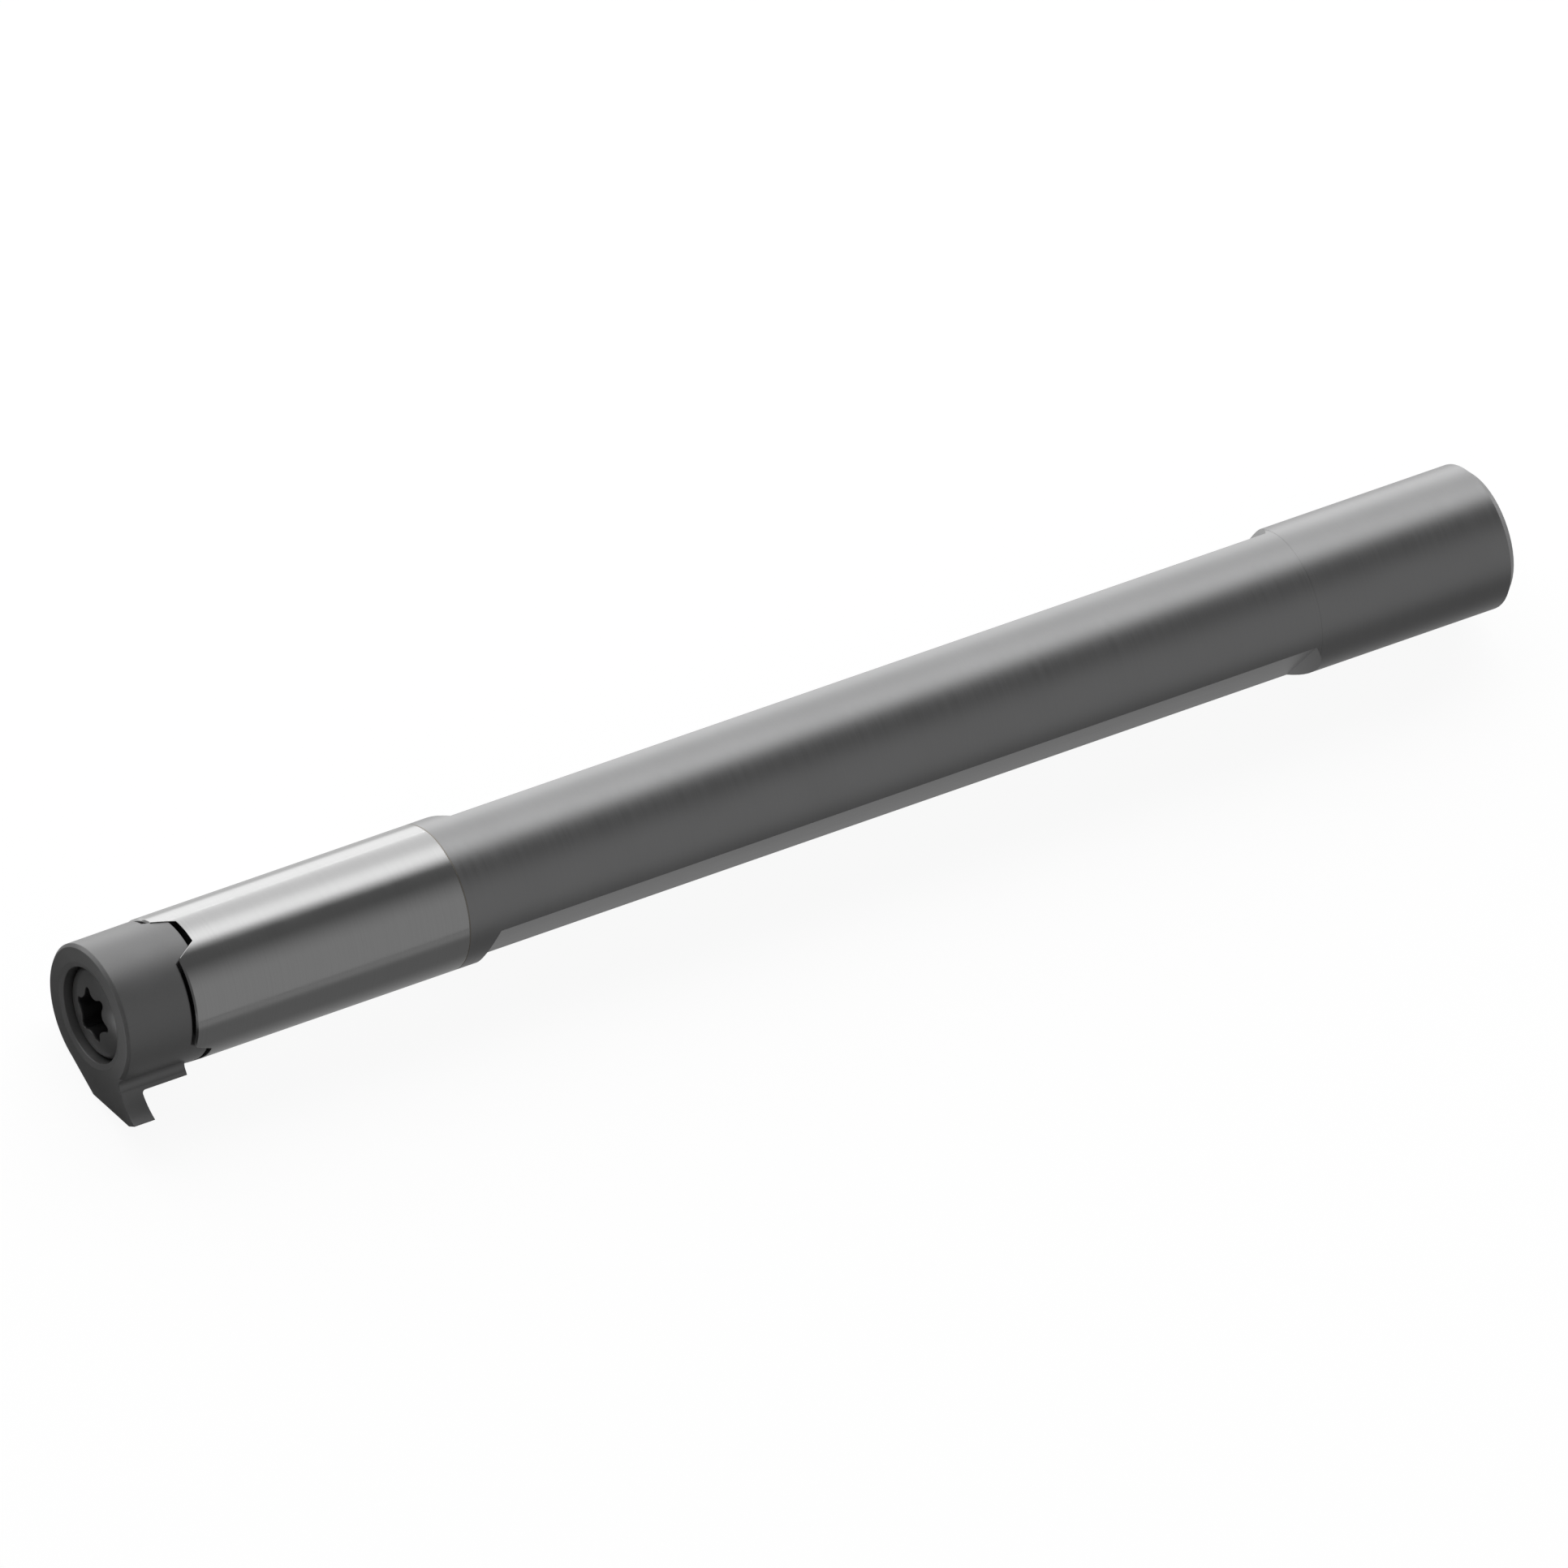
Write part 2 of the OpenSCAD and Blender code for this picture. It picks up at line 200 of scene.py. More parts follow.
class StudioSettings(bpy.types.PropertyGroup):
    """Camera, floor and soft lamps."""

    lens: FloatProperty(
        name="Lens", description="Focal length, in millimetres",
        min=50, max=1700, default=1600)
    frame_width: FloatProperty(
        name="Frame width", description="Width that the picture shows at the bar",
        unit="LENGTH", min=0.05, max=0.5, default=0.12299, precision=5)
    look_back: FloatProperty(
        name="Look back", description="How far the picture's centre is behind the head's face",
        unit="LENGTH", min=0.0, max=0.13, default=0.06396, precision=5)
    look_down: FloatProperty(
        name="Look down", description="How far the picture's centre is below the bar's axis",
        unit="LENGTH", min=-0.05, max=0.05, default=0.000684, precision=6)
    floor_size: FloatProperty(
        name="Floor size", description="Side of the square floor",
        unit="LENGTH", min=0.5, max=10, default=3.0)
    world_level: FloatProperty(
        name="World level", description="Brightness of the room round the lamps",
        min=0, max=1, default=0.11)


# ---------------------------------------------------------------- node trees


class Nodes:
    """A node tree, built step by step."""

    def __init__(self, tree):
        self.tree = tree
        self.tree.nodes.clear()

    def add(self, kind, inputs=None, **settings):
        """Adds a node, sets it up and feeds its inputs with values or other nodes' outputs."""
        node = self.tree.nodes.new(kind)
        for key, value in settings.items():
            setattr(node, key, value)
        for key, value in (inputs or {}).items():
            if isinstance(value, bpy.types.NodeSocket):
                self.tree.links.new(value, node.inputs[key])
            else:
                node.inputs[key].default_value = value
        return node

    def math(self, operation, a, b=0.0):
        """Result of one arithmetic step."""
        return self.add("ShaderNodeMath", {0: a, 1: b}, operation=operation).outputs[0]

    def separate(self, vector):
        """The x, y and z of a vector."""
        return self.add("ShaderNodeSeparateXYZ", {"Vector": vector}).outputs

    def mean(self, one, two, share):
        """Weighted mean of two values, of which the first has this share."""
        return self.math(
            "ADD", self.math("MULTIPLY", one, share), self.math("MULTIPLY", two, 1 - share))

    def band(self, value, low, high, to_low=0.0, to_high=1.0):
        """Value mapped smoothly from one range to another, and held at its ends."""
        return self.add(
            "ShaderNodeMapRange",
            {"Value": value, "From Min": low, "From Max": high,
             "To Min": to_low, "To Max": to_high},
            interpolation_type="SMOOTHSTEP").outputs["Result"]


# Range that most of a noise lies in
NOISE_LOW, NOISE_HIGH = 0.3, 0.7


class Finish(Nodes):
    """A material, built step by step. Its noises are fixed to the piece."""

    def __init__(self, name):
        self.material = bpy.data.materials.new(name)
        self.material.use_nodes = True
        super().__init__(self.material.node_tree)

    def unrolled(self, vector):
        """Vector turned about the bar's axis so that Z is square to the flats."""
        return self.add(
            "ShaderNodeVectorRotate", {"Vector": vector, "Angle": -ROLL},
            rotation_type="X_AXIS").outputs["Vector"]

    def place(self):
        """Position on the piece, with Z square to the flats."""
        return self.unrolled(self.add("ShaderNodeTexCoord").outputs["Object"])

    def radius(self, place):
        """Distance of a point from the bar's axis."""
        across = self.add(
            "ShaderNodeVectorMath", {0: place, 1: (0, 1, 1)}, operation="MULTIPLY").outputs[0]
        return self.add(
            "ShaderNodeVectorMath", {0: across}, operation="LENGTH").outputs["Value"]

    def grain(self, place, waves, detail):
        """Noise from 0 to 1, with so many waves in a metre along each axis."""
        stretched = self.add(
            "ShaderNodeMapping", {"Vector": place, "Scale": waves}).outputs["Vector"]
        return self.add(
            "ShaderNodeTexNoise",
            {"Vector": stretched, "Scale": 1.0, "Detail": detail, "Roughness": 0.55},
        ).outputs["Fac"]

    def blend(self, one, two, share):
        """Mix of two colours."""
        return self.add(
            "ShaderNodeMix", {"Factor": share, 6: one, 7: two}, data_type="RGBA").outputs[2]

    def shade(self, color, low, high, share):
        """Colour that goes from a low to a high share of itself."""
        dark, light = [
            (*[min(1.0, c * level) for c in color], 1) for level in (low, high)]
        return self.blend(dark, light, share)

    def uneven(self, value, less, more, noise):
        """Number that follows a noise, from a little less than a value to a little more."""
        return self.band(noise, NOISE_LOW, NOISE_HIGH, value - less, value + more)

    def bump(self, height, depth, strength, normal=None):
        """Normal that follows a height, at a depth in metres."""
        inputs = {"Height": height, "Distance": depth, "Strength": strength}
        if normal is not None:
            inputs["Normal"] = normal
        return self.add("ShaderNodeBump", inputs).outputs["Normal"]

    def soft_edges(self, radius):
        """Normal that rounds every edge by a small radius, in metres."""
        return self.add("ShaderNodeBevel", {"Radius": radius}, samples=6).outputs["Normal"]

    def surface(self, inputs):
        """Ends the tree with one principled shader."""
        shader = self.add("ShaderNodeBsdfPrincipled", inputs)
        self.add("ShaderNodeOutputMaterial", {"Surface": shader.outputs["BSDF"]})
        return self.material


# ---------------------------------------------------------------- finishes

# Edge radii that light catches on the pressed head and on the steel pieces
PRESSED_EDGE = 0.14 * MM
STEEL_EDGE = 0.08 * MM

# Depth below the dome's ball from which the black oxide starts, and at which it is whole
OXIDE_FROM, OXIDE_TO = 0.03 * MM, 0.22 * MM

# A flat of the shank: how square to it a normal is, and how far from the axis it ends
FLAT_SQUARE = 0.9995
FLAT_END = 5.02 * MM


def dress(node, material):
    """Gives a CAD node its finish."""
    mesh = frame["nodes"][node].data
    mesh.materials.clear()
    mesh.materials.append(material)


def pressed_carbide(colors):
    """Dark sintered carbide: fine grain, faint mottling and slightly round edges."""
    f = Finish("pressed_carbide")
    place = f.place()
    fine = f.grain(place, (9000, 9000, 9000), 3.0)
    mottle = f.grain(place, (420, 420, 420), 4.0)
    speckle = f.mean(mottle, fine, 0.6)
    return f.surface({
        "Base Color": f.shade(colors.pressed_color, 0.84, 1.16, speckle),
        "Metallic": 0.8,
        "Roughness": f.uneven(colors.pressed_roughness, 0.03, 0.04, mottle),
        "Coat Weight": 1.0,
        "Coat Roughness": 0.42,
        "Normal": f.bump(fine, 1.8e-6, 0.6, f.soft_edges(PRESSED_EDGE)),
    })


def blackened_steel(colors, x_dome, dome_radius):
    """Black oxide on turned steel, rubbed lighter on the dome."""
    f = Finish("blackened_steel")
    place = f.place()
    rings = f.grain(place, (16000, 900, 900), 2.0)
    mottle = f.grain(place, (700, 700, 700), 3.0)
    sag = f.math("DIVIDE", f.math("POWER", f.radius(place), 2), 2 * dome_radius)
    depth = f.math("SUBTRACT", f.math("SUBTRACT", f.separate(place)["X"], x_dome), sag)
    rubbed = f.shade(colors.dome_color, 0.85, 1.2, mottle)
    black = f.shade(colors.screw_color, 0.8, 1.25, mottle)
    return f.surface({
        "Base Color": f.blend(rubbed, black, f.band(depth, OXIDE_FROM, OXIDE_TO)),
        "Metallic": 0.6,
        "Roughness": colors.screw_roughness,
        "IOR": 1.6,
        "Normal": f.bump(rings, 0.8e-6, 0.5, f.soft_edges(STEEL_EDGE)),
    })


def polished_steel(colors):
    """Fine-ground and polished steel, with faint marks that run round it."""
    f = Finish("polished_steel")
    place = f.place()
    rings = f.grain(place, (14000, 60, 60), 3.0)
    cloud = f.grain(place, (260, 260, 260), 3.0)
    return f.surface({
        "Base Color": f.shade(colors.nose_color, 0.95, 1.05, rings),
        "Metallic": 1.0,
        "Roughness": f.uneven(colors.nose_roughness, 0.02, 0.03, cloud),
        "Normal": f.bump(rings, 0.3e-6, 0.7, f.soft_edges(STEEL_EDGE)),
    })


def ground_carbide(colors):
    """Centreless-ground carbide: marks round the bar, and along it on the flats."""
    f = Finish("ground_carbide")
    place = f.place()
    normal = f.unrolled(f.add("ShaderNodeNewGeometry").outputs["Normal"])
    square = f.math("GREATER_THAN", f.math("ABSOLUTE", f.separate(normal)["Z"]), FLAT_SQUARE)
    inside = f.math("LESS_THAN", f.math("ABSOLUTE", f.separate(place)["Z"]), FLAT_END)
    on_flat = f.math("MULTIPLY", square, inside)
    rings = f.grain(place, (11000, 70, 70), 3.0)
    strokes = f.grain(place, (90, 9000, 9000), 3.0)
    marks = f.add(
        "ShaderNodeMix", {"Factor": on_flat, "A": rings, "B": strokes},
        data_type="FLOAT").outputs[0]
    cloud = f.grain(place, (180, 180, 180), 4.0)
    return f.surface({
        "Base Color": f.shade(colors.shank_color, 0.88, 1.12, f.mean(cloud, marks, 0.5)),
        "Metallic": 1.0,
        "Roughness": f.uneven(colors.shank_roughness, 0.03, 0.03, marks),
        "Coat Weight": 0.6,
        "Coat Roughness": 0.32,
        "Normal": f.bump(marks, 0.6e-6, 0.7),
    })


def silver_braze(colors):
    """Thin braze line, a little duller than the steel."""
    f = Finish("silver_braze")
    blotch = f.grain(f.place(), (2500, 2500, 2500), 3.0)
    return f.surface({
        "Base Color": f.shade(colors.braze_color, 0.8, 1.2, blotch),
        "Metallic": 1.0,
        "Roughness": f.uneven(colors.braze_roughness, 0.06, 0.06, blotch),
        "Normal": f.bump(blotch, 1.5e-6, 0.5),
    })


# ---------------------------------------------------------------- clamp screw

# Steps from the dome's top to its rim
DOME_STEPS = 64

# Chamfer under the screw's head, as a share of the one round its rim
REAR_CHAMFER = 0.3

# Fillet between head and neck: distance past the seat and past the neck, in millimetres
NECK_FILLET = [(0, 0.15), (0.05, 0.04), (0.15, 0)]

# How much thinner the neck's end is, so that it stays inside the thread
NECK_TAPER = 0.25 * MM

# One pitch of the thread: place along it, and 0 at the root or 1 at the crest
THREAD_FORM = [(0.0, 0), (0.25, 0), (0.5625, 1), (0.6875, 1)]

# Depth of the thread, and the length over which it starts, as shares of its pitch
THREAD_DEPTH = 0.6134
THREAD_START = 1.5

# Turns that the thread is built past each end before it is cut to length
SPARE_TURNS = 2

# Points closer than this are one, in metres
WELD = 1e-8

# Six-lobe socket: radius of its waist and of a lobe's round end, as shares of its size
WAIST_SHARE = 0.3633
LOBE_SHARE = 0.0867

# Mouth of the socket: how much it opens, and how far above the dome's top it begins and
# below it ends. The cutter starts well clear of the dome
MOUTH_OPENING = 1.05
MOUTH_ABOVE, MOUTH_BELOW = 0.02 * MM, 0.12 * MM
CUTTER_CLEAR = 1.0 * MM

# Drilled bottom of the socket, as a share of its width, and the drill's half angle
DRILLED_SHARE = 0.82
DRILL_ANGLE = math.radians(59)

# Edges of the screw that turn by more than this stay sharp
SHARP_ANGLE = math.radians(28)


def lathe(points, facets):
    """Closed mesh turned about X from (x, radius) points that start and end on the axis."""
    bm = bmesh.new()
    turns = [2 * math.pi * i / facets for i in range(facets)]
    rings = []
    for x, r in points:
        if r == 0:
            rings.append([bm.verts.new((x, 0, 0))])
        else:
            rings.append([bm.verts.new((x, r * math.cos(a), r * math.sin(a))) for a in turns])
    for one, two in zip(rings, rings[1:]):
        for i in range(facets):
            j = (i + 1) % facets
            corners = []
            for vert in (one[i % len(one)], one[j % len(one)],
                         two[j % len(two)], two[i % len(two)]):
                if vert not in corners:
                    corners.append(vert)
            bm.faces.new(corners)
    bmesh.ops.recalc_face_normals(bm, faces=bm.faces)
    return bm


def thread_radius_at(sizes, x, raised, x_from, x_to):
    """Radius of the thread's crest or root at a station, up to its chamfered tip."""
    root = sizes.thread_radius - THREAD_DEPTH * sizes.pitch
    crest = min(sizes.thread_radius, sizes.thread_radius + (x_to - sizes.tip_chamfer - x))
    r = crest if raised else min(root, crest)
    started = min(1.0, max(0.0, (x - x_from) / (THREAD_START * sizes.pitch)))
    return root + (r - root) * started if r > root else r


def thread_core(sizes, x_from, x_to, facets):
    """Closed helical thread between two stations, with a chamfered tip."""
    rows = int((x_to - x_from) / sizes.pitch) + 2 * SPARE_TURNS
    bm = bmesh.new()
    verts = []
    for i in range(facets):
        share = i / facets
        angle = 2 * math.pi * share
        column = []
        for row in range(rows):
            for offset, raised in THREAD_FORM:
                x = x_from + sizes.pitch * (row - SPARE_TURNS + offset + share)
                r = thread_radius_at(sizes, x, raised, x_from, x_to)
                column.append(bm.verts.new((x, r * math.cos(angle), r * math.sin(angle))))
        verts.append(column)
    # Past the last column the first one follows, a pitch further on
    count = len(THREAD_FORM)
    for i in range(facets):
        step = 0 if i < facets - 1 else count
        one, two = verts[i], verts[(i + 1) % facets]
        for row in range(len(one) - 1 - step):
            bm.faces.new((one[row], two[row + step], two[row + step + 1], one[row + 1]))
    for x, normal in ((x_from, (-1, 0, 0)), (x_to, (1, 0, 0))):
        cut = bmesh.ops.bisect_plane(
            bm, geom=bm.verts[:] + bm.edges[:] + bm.faces[:],
            plane_co=(x, 0, 0), plane_no=normal, clear_outer=True)
        rim = [e for e in cut["geom_cut"] if isinstance(e, bmesh.types.BMEdge)]
        bmesh.ops.contextual_create(bm, geom=rim)
    bmesh.ops.remove_doubles(bm, verts=bm.verts, dist=WELD)
    bmesh.ops.recalc_face_normals(bm, faces=bm.faces)
    return bm


def six_lobe_outline(size, steps=8):
    """Points of a six-lobe outline: round lobes joined by hollow waists."""
    waist = WAIST_SHARE * size
    lobe = LOBE_SHARE * size
    centre = size / 2 - lobe
    half = math.pi / 6
    hollow = (centre**2 + waist**2 - lobe**2 - 2 * centre * waist * math.cos(half)) / (
        2 * (centre * math.cos(half) - waist + lobe))
    far = waist + hollow
    # Lobe and hollow touch on the line that joins their centres
    lobe_at = Vector((centre, 0))
    hollow_at = Vector((far * math.cos(half), far * math.sin(half)))
    toward = (hollow_at - lobe_at).normalized()
    reach = math.atan2(toward.y, toward.x)
    start = math.atan2(-toward.y, -toward.x) % (2 * math.pi)
    middle = half + math.pi
    arc = [(lobe_at, lobe, -reach + 2 * reach * i / steps) for i in range(steps + 1)]
    arc += [(hollow_at, hollow, start + (2 * middle - 2 * start) * i / steps)
            for i in range(1, steps)]
    points = []
    for side in range(6):
        turn = side * math.pi / 3
        for at, r, angle in arc:
            y, z = at.x + r * math.cos(angle), at.y + r * math.sin(angle)
            points.append((
                y * math.cos(turn) - z * math.sin(turn),
                y * math.sin(turn) + z * math.cos(turn)))
    return points


def socket_cutter(sizes, x_top):
    """Cutter for the six-lobe socket: a mouth that opens, its prism, and a drilled bottom."""
    outline = six_lobe_outline(sizes.socket_size)
    count = len(outline)
    floor = x_top + sizes.socket_depth
    levels = [
        (x_top - CUTTER_CLEAR, MOUTH_OPENING),
        (x_top - MOUTH_ABOVE, MOUTH_OPENING),
        (x_top + MOUTH_BELOW, 1.0),
        (floor, 1.0),
        (floor, DRILLED_SHARE),
    ]
    bm = bmesh.new()
    rings = [[bm.verts.new((x, y * s, z * s)) for y, z in outline] for x, s in levels]
    drilled = DRILLED_SHARE * WAIST_SHARE * sizes.socket_size
    tip = bm.verts.new((floor + drilled / math.tan(DRILL_ANGLE), 0, 0))
    bm.faces.new(rings[0])
    for i in range(count):
        j = (i + 1) % count
        for one, two in zip(rings, rings[1:]):
            bm.faces.new((one[i], one[j], two[j], two[i]))
        bm.faces.new((rings[-1][i], rings[-1][j], tip))
    bmesh.ops.recalc_face_normals(bm, faces=bm.faces)
    return bm


def mesh_object(bm, name):
    """New object from a bmesh, which it frees."""
    mesh = bpy.data.meshes.new(name)
    bm.to_mesh(mesh)
    bm.free()
    obj = bpy.data.objects.new(name, mesh)
    bpy.context.scene.collection.objects.link(obj)
    return obj


def combine(target, other, operation):
    """Applies one boolean step to a mesh object and removes the other object."""
    step = target.modifiers.new("combine", "BOOLEAN")
    step.operation = operation
    step.solver = "EXACT"
    step.object = other
    done = bpy.data.meshes.new_from_object(
        target.evaluated_get(bpy.context.evaluated_depsgraph_get()))
    target.modifiers.clear()
    target.data = done
    bpy.data.objects.remove(other)


def dome_ball(sizes, radius):
    """Radius of the ball that the screw's dome is part of."""
    return (radius**2 + sizes.dome_height**2) / (2 * sizes.dome_height)


def head_profile(sizes, x_dome, radius):
    """(x, radius) points of the screw from the dome's top to the neck's end, and its seat."""
    x_rim = x_dome + sizes.dome_height
    x_seat = x_rim + sizes.head_height
    x_end = x_seat + sizes.neck_length + sizes.pitch
    edge = sizes.rim_chamfer
    ball = dome_ball(sizes, radius)
    points = [(x_dome, 0.0)]
    for i in range(1, DOME_STEPS):
        r = radius * i / DOME_STEPS
        x = x_dome + ball - math.sqrt(ball**2 - r**2)
        # The dome ends where the rim's chamfer meets it
        if r >= radius - edge - sizes.dome_height + (x - x_dome):
            break
        points.append((x, r))
    points += [
        (x_rim + edge, radius),
        (x_seat - REAR_CHAMFER * edge, radius),
        (x_seat, radius - REAR_CHAMFER * edge),
    ]
    points += [(x_seat + x * MM, sizes.neck_radius + r * MM) for x, r in NECK_FILLET]
    points += [(x_end, sizes.neck_radius - NECK_TAPER), (x_end, 0.0)]
    return points, x_seat


# ---------------------------------------------------------------- operators


class BAR_OT_cutting_head(bpy.types.Operator):
    """Gives the cutting head its pressed carbide finish."""

    bl_idname = "bar.cutting_head"
    bl_label = "Cutting head"

    def execute(self, context):
        dress("cutting_head", pressed_carbide(context.scene.bar_finishes))
        return {"FINISHED"}


class BAR_OT_clamp_screw(bpy.types.Operator):
    """Builds the clamp screw with its thread, dome and six-lobe socket."""

    bl_idname = "bar.clamp_screw"
    bl_label = "Clamp screw"

    def execute(self, context):
        sizes = context.scene.screw_sizes
        low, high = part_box("clamp_screw")
        radius = (high.z - low.z) / 2
        points, x_seat = head_profile(sizes, low.x, radius)
        screw = mesh_object(lathe(points, sizes.facets), "clamp_screw_threaded")
        x_thread = x_seat + sizes.neck_length
        thread = mesh_object(thread_core(sizes, x_thread, high.x, sizes.facets), "thread")
        combine(screw, thread, "UNION")
        cutter = mesh_object(socket_cutter(sizes, low.x), "socket")
        combine(screw, cutter, "DIFFERENCE")
        if not screw.data.polygons:
            raise RuntimeError("the clamp screw came out empty")
        screw.data.transform(Matrix.Rotation(ROLL + sizes.socket_clock, 4, "X"))
        screw.data.shade_smooth()
        screw.data.set_sharp_from_angle(angle=SHARP_ANGLE)
        screw.data.materials.clear()
        screw.data.materials.append(
            blackened_steel(context.scene.bar_finishes, low.x, dome_ball(sizes, radius)))
        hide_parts("clamp_screw")
        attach(screw, "screw")
        return {"FINISHED"}


class BAR_OT_steel_nose(bpy.types.Operator):
    """Gives the nose its polished steel finish."""

    bl_idname = "bar.steel_nose"
    bl_label = "Steel nose"

    def execute(self, context):
        dress("steel_nose", polished_steel(context.scene.bar_finishes))
        return {"FINISHED"}


class BAR_OT_braze_line(bpy.types.Operator):
    """Gives the braze line its finish."""

    bl_idname = "bar.braze_line"
    bl_label = "Braze line"

    def execute(self, context):
        dress("braze_layer", silver_braze(context.scene.bar_finishes))
        return {"FINISHED"}


class BAR_OT_carbide_shank(bpy.types.Operator):
    """Gives the shank its ground carbide finish."""

    bl_idname = "bar.carbide_shank"
    bl_label = "Carbide shank"

    def execute(self, context):
        dress("carbide_shank", ground_carbide(context.scene.bar_finishes))
        return {"FINISHED"}


# Soft boxes round the bar: name, clock angle and half width in degrees, the shares of the
# width over which the edges with the lower and the higher clock angle fade, and brightness
SOFT_BOXES = [
    ("skirting_box", -6, 19, 0.02, 1.0, 1.12),
    ("rear_box", 18, 36, 0.62, 0.37, 1.26),
    ("front_box", 112, 45, 0.48, 0.02, 0.195),
]

# Soft boxes: distance from the bar's axis, length, and shift of their middle from the bar's
BOX_DISTANCE = 0.6
BOX_LENGTH = 1.5
BOX_SHIFT = 0.25

# Floor as the camera sees it: a white this bright, with this share of its paint, which
# carries the shadow
FLOOR_PAINT = (0.82, 0.82, 0.82, 1)
FLOOR_WHITE = 1.24
PAINT_SHARE = 0.27

# Painted reflection: the floor glows only for the rays that metal mirrors. It is dim towards -Y
# and near the bar, standing in for the bar's shadow, and bright towards +Y. Its brightness far
# off towards -Y, and its changes from there towards +Y, each from and to in millimetres, and
# how much brighter it gets
MIRRORED_GLOW_BASE = 0.25
MIRRORED_GLOW_CHANGES = [
    (-70, -28, -0.10),
    (-13, 0, 0.25),
    (0, 16, 0.26),
    (17, 28, 0.70),
    (28, 45, 0.10),
]

# Painted shade in the floor's mirrored glow: a darker stretch before the head, where its shadow
# would fall. From and to along the bar in millimetres from its front face, and the share of the
# brightness at each. The two add up
SHADE_BEFORE_HEAD = [(-24, -10, 0.8, 0.2), (-1, 2, 0, 0.8)]

# Painted highlight: a small bright patch in the floor's mirrored glow, placed for the screw's
# dome to mirror. Each edge from and to in millimetres, and the brightness at each, along the
# bar from the front face and across it. The four multiply
HIGHLIGHT_PATCH_ALONG = [(-22, -14, 0, 1), (-10.5, -7.5, 1.3, 0)]
HIGHLIGHT_PATCH_ACROSS = [(-16, -8, 0, 1), (-3, 3, 1, 0)]

# Camera's sensor, in millimetres, and the distance at which it starts to see
SENSOR_WIDTH = 36
CLIP_START = 0.1


class BAR_OT_studio(bpy.types.Operator):
    """Sets up the pale floor, the soft lamps and the camera."""

    bl_idname = "bar.studio"
    bl_label = "Studio"

    def execute(self, context):
        settings = context.scene.studio_settings
        self.make_floor(settings)
        self.make_world(context.scene, settings)
        for box in SOFT_BOXES:
            self.make_box(context.scene, *box)
        self.make_camera(context.scene, settings)
        context.scene.view_settings.view_transform = "Standard"
        return {"FINISHED"}

    def make_floor(self, settings):
        """Pale floor under the bar. The camera sees it white, with a faint shadow."""
        bm = bmesh.new()
        bmesh.ops.create_grid(bm, x_segments=4, y_segments=4, size=settings.floor_size / 2)
        bmesh.ops.translate(bm, verts=bm.verts, vec=(0, 0, CAD_BOX[0].z))
        floor = mesh_object(bm, "floor")
        f = Finish("pale_floor")
        path = f.add("ShaderNodeLightPath").outputs
        paint = f.add("ShaderNodeBsdfDiffuse", {"Color": FLOOR_PAINT}).outputs[0]
        white, mirrored = [
            f.add("ShaderNodeEmission", {"Color": WHITE, "Strength": strength}).outputs[0]
            for strength in (FLOOR_WHITE, self.painted_floor_reflection(f))]
        seen = f.add("ShaderNodeMixShader", {0: PAINT_SHARE, 1: white, 2: paint}).outputs[0]
        # Painted reflection: glossy rays see the painted glow, other rays see the lit paint
        for_metal = f.add(
            "ShaderNodeMixShader", {0: path["Is Glossy Ray"], 1: paint, 2: mirrored}).outputs[0]
        both = f.add(
            "ShaderNodeMixShader", {0: path["Is Camera Ray"], 1: for_metal, 2: seen}).outputs[0]
        f.add("ShaderNodeOutputMaterial", {"Surface": both})
        # The mirrored brightness is only seen, and lights nothing
        f.material.cycles.emission_sampling = "NONE"
        floor.data.materials.append(f.material)

    def painted_floor_reflection(self, f):
        """Painted reflection: brightness of the floor as metal mirrors it, place by place, with
        painted shade before the head and a painted highlight patch.
        """
        place = f.add("ShaderNodeTexCoord").outputs["Object"]
        along, across = f.separate(place)[:2]
        face = CAD_BOX[0].x

        def edge(value, start, low, high, at_low, at_high):
            return f.band(value, start + low * MM, start + high * MM, at_low, at_high)

        # Painted reflection: the glow rises in bands across the bar, dim where the bar's shadow
        # would fall
        mirrored_glow = MIRRORED_GLOW_BASE
        for low, high, change in MIRRORED_GLOW_CHANGES:
            mirrored_glow = f.math("ADD", edge(across, 0, low, high, 0, change), mirrored_glow)
        # Painted shade: the mirrored glow darkens before the head, where its shadow would fall
        mirrored_glow = f.math(
            "MULTIPLY", mirrored_glow, f.math("ADD", *[edge(along, face, *row) for row in SHADE_BEFORE_HEAD]))
        # Painted highlight: a bright patch in the mirrored glow for the screw's dome to show
        edges = [edge(along, face, *row) for row in HIGHLIGHT_PATCH_ALONG]
        edges += [edge(across, 0, *row) for row in HIGHLIGHT_PATCH_ACROSS]
        highlight_patch = edges[0]
        for other in edges[1:]:
            highlight_patch = f.math("MULTIPLY", highlight_patch, other)
        return f.math("ADD", mirrored_glow, highlight_patch)

    def make_world(self, scene, settings):
        """Even, dim room that the camera sees as white."""
        world = bpy.data.worlds.new("studio_room")
        scene.world = world
        world.use_nodes = True
        nodes = Nodes(world.node_tree)
        path = nodes.add("ShaderNodeLightPath").outputs
        white, room = [
            nodes.add("ShaderNodeBackground", {"Color": WHITE, "Strength": strength}).outputs[0]
            for strength in (1.0, settings.world_level)]
        seen = nodes.add("ShaderNodeMixShader", {0: path["Is Camera Ray"], 1: room, 2: white})
        nodes.add("ShaderNodeOutputWorld", {"Surface": seen.outputs[0]})

    def make_box(self, scene, name, clock, half, fade_low, fade_high, level):
        """Long soft box parallel to the bar, at a clock angle round it."""
        width = 2 * BOX_DISTANCE * math.tan(math.radians(half))
        lamp = bpy.data.lights.new(name, "AREA")
        lamp.shape = "RECTANGLE"
        lamp.size, lamp.size_y = BOX_LENGTH, width
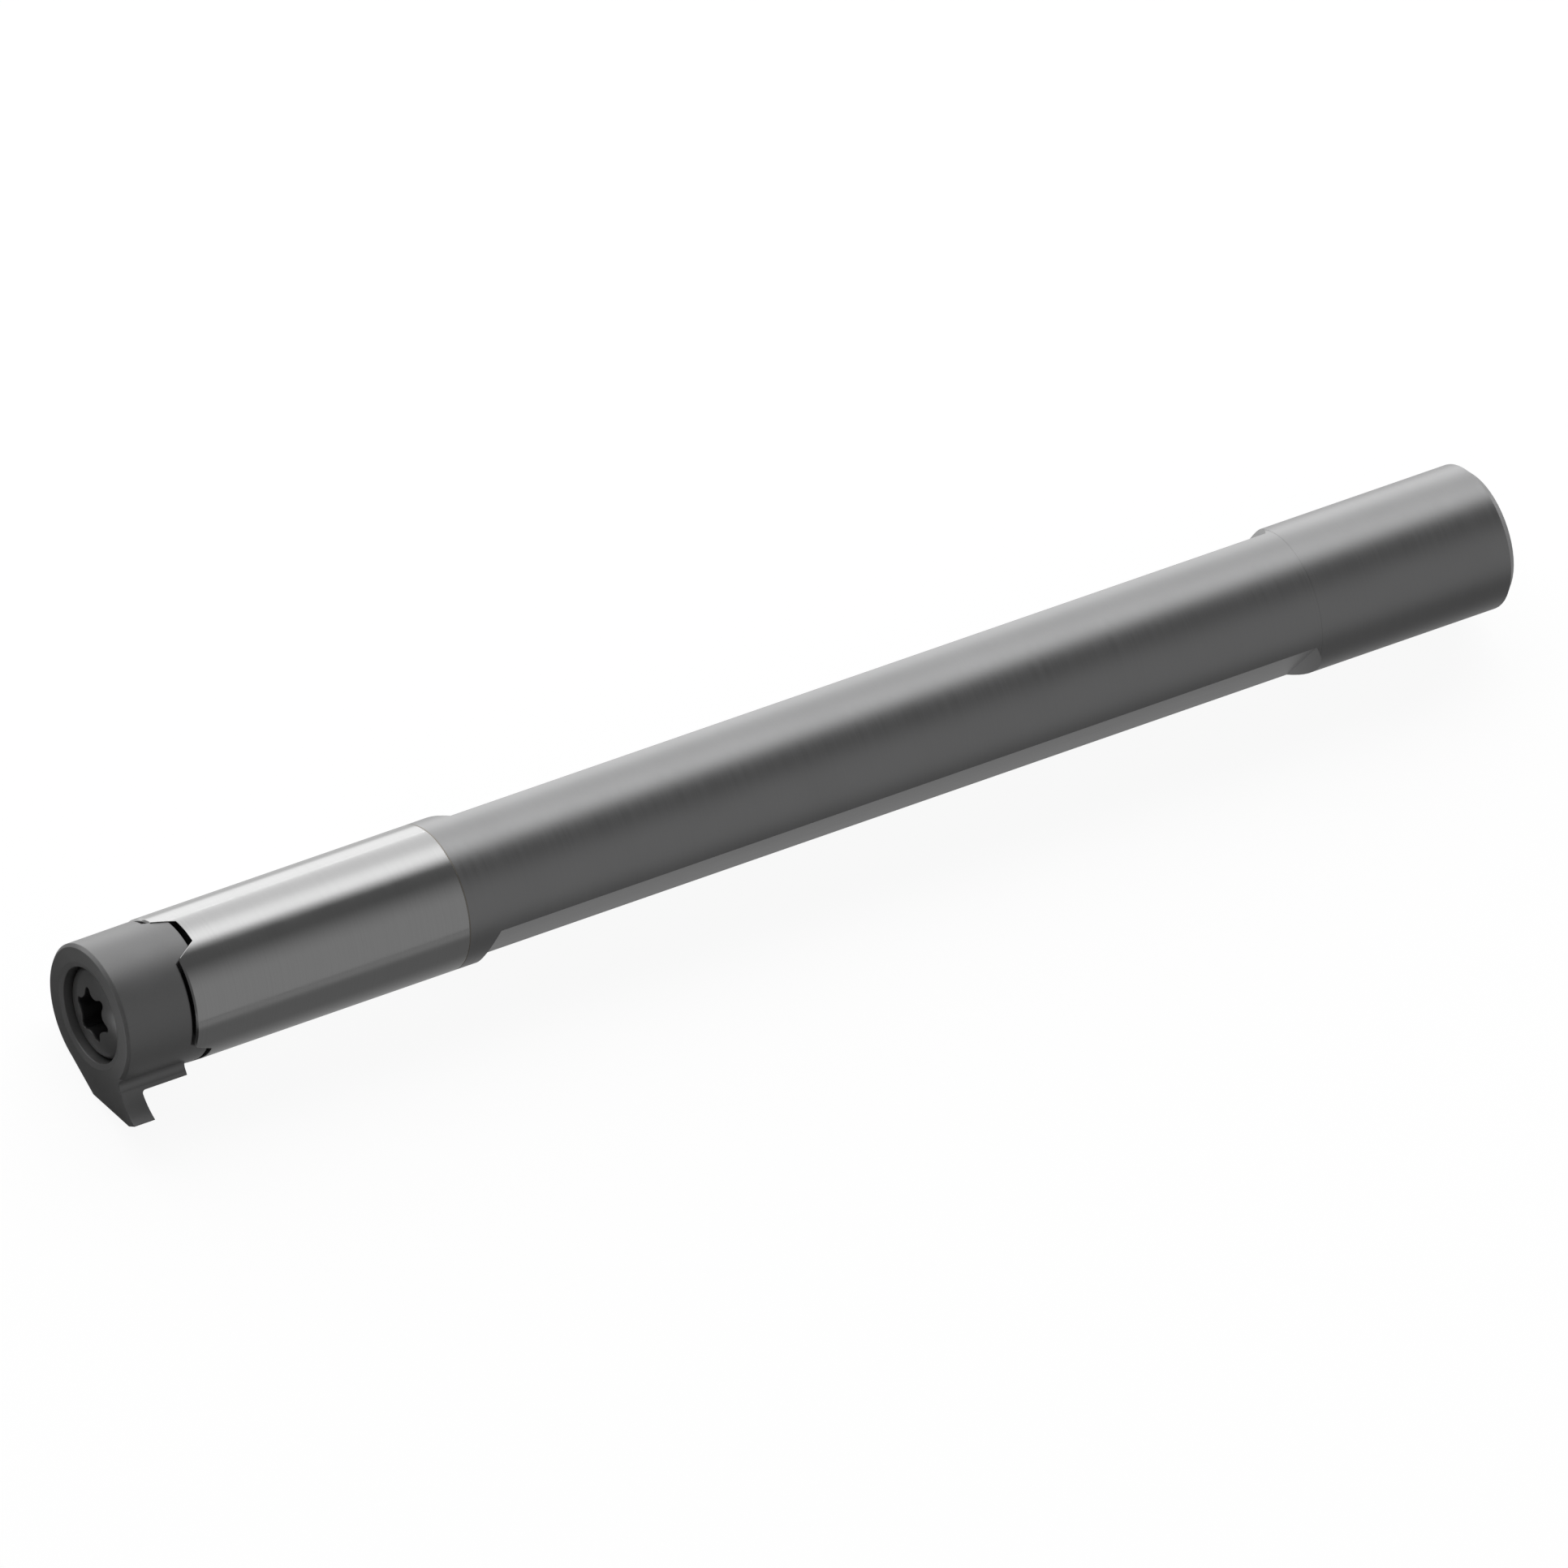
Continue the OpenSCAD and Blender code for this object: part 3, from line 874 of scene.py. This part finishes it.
        # With this energy a mirror shows the box at its level, whatever its size
        lamp.energy = level * math.pi * BOX_LENGTH * width
        self.fade_edges(lamp, fade_low, fade_high)
        box = bpy.data.objects.new(name, lamp)
        scene.collection.objects.link(box)
        direction = clock_direction(clock)
        along = Vector((1, 0, 0))
        middle = Vector(((CAD_BOX[0].x + CAD_BOX[1].x) / 2 + BOX_SHIFT, 0, 0))
        facing = Matrix((along, direction.cross(along), direction)).transposed().to_4x4()
        box.matrix_world = Matrix.Translation(middle + BOX_DISTANCE * direction) @ facing
        box.visible_camera = False

    def fade_edges(self, lamp, fade_low, fade_high):
        """Lets a soft box grow dimmer towards its two long edges."""
        lamp.use_nodes = True
        nodes = Nodes(lamp.node_tree)
        place = nodes.add("ShaderNodeNewGeometry").outputs["Parametric"]
        # From 0 at the edge with the higher clock angle to 1 at the other
        across = nodes.separate(place)["Y"]
        level = nodes.math(
            "MULTIPLY", nodes.band(across, 0, fade_high), nodes.band(across, 1, 1 - fade_low))
        glow = nodes.add("ShaderNodeEmission", {"Color": WHITE, "Strength": level})
        nodes.add("ShaderNodeOutputLight", {"Surface": glow.outputs[0]})

    def make_camera(self, scene, settings):
        """Camera at the photograph's angle, from far away through a long lens."""
        data = bpy.data.cameras.new("camera")
        data.type = "PERSP"
        data.sensor_width = SENSOR_WIDTH
        data.lens = settings.lens
        away = settings.frame_width * settings.lens / SENSOR_WIDTH
        axes = seen_axes()
        target = Vector((CAD_BOX[0].x + settings.look_back, 0, 0))
        target -= settings.look_down * clock_direction(0)
        camera = bpy.data.objects.new("camera", data)
        scene.collection.objects.link(camera)
        camera.matrix_world = Matrix.Translation(target + away * axes.col[2]) @ axes.to_4x4()
        data.clip_start, data.clip_end = CLIP_START, 2 * away
        scene.camera = camera


# ---------------------------------------------------------------- panel


class BAR_PT_builder(bpy.types.Panel):
    """Lists the steps that finish the bar, and their settings."""

    bl_idname = "BAR_PT_builder"
    bl_label = "Grooving bar"
    bl_space_type = "VIEW_3D"
    bl_region_type = "UI"
    bl_category = "Grooving bar"

    def draw(self, context):
        scene = context.scene
        column = self.layout.column()
        for step in OPERATORS:
            column.operator(step.bl_idname)
        for group in (scene.bar_finishes, scene.screw_sizes, scene.studio_settings):
            for key in group.__annotations__:
                column.prop(group, key)


OPERATORS = (
    BAR_OT_cutting_head,
    BAR_OT_clamp_screw,
    BAR_OT_steel_nose,
    BAR_OT_braze_line,
    BAR_OT_carbide_shank,
    BAR_OT_studio,
)
GROUPS = (BarFinishes, ScrewSizes, StudioSettings)


def register():
    """Registers the settings, the operators and the panel."""
    for item in GROUPS + OPERATORS + (BAR_PT_builder,):
        bpy.utils.register_class(item)
    bpy.types.Scene.bar_finishes = PointerProperty(type=BarFinishes)
    bpy.types.Scene.screw_sizes = PointerProperty(type=ScrewSizes)
    bpy.types.Scene.studio_settings = PointerProperty(type=StudioSettings)


def unregister():
    """Takes away what register added."""
    del bpy.types.Scene.studio_settings
    del bpy.types.Scene.screw_sizes
    del bpy.types.Scene.bar_finishes
    for item in reversed(GROUPS + OPERATORS + (BAR_PT_builder,)):
        bpy.utils.unregister_class(item)


def main():
    """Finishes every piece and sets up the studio."""
    register()
    bpy.ops.bar.cutting_head()
    bpy.ops.bar.clamp_screw()
    bpy.ops.bar.steel_nose()
    bpy.ops.bar.braze_line()
    bpy.ops.bar.carbide_shank()
    bpy.ops.bar.studio()


if __name__ == "__main__":
    main()
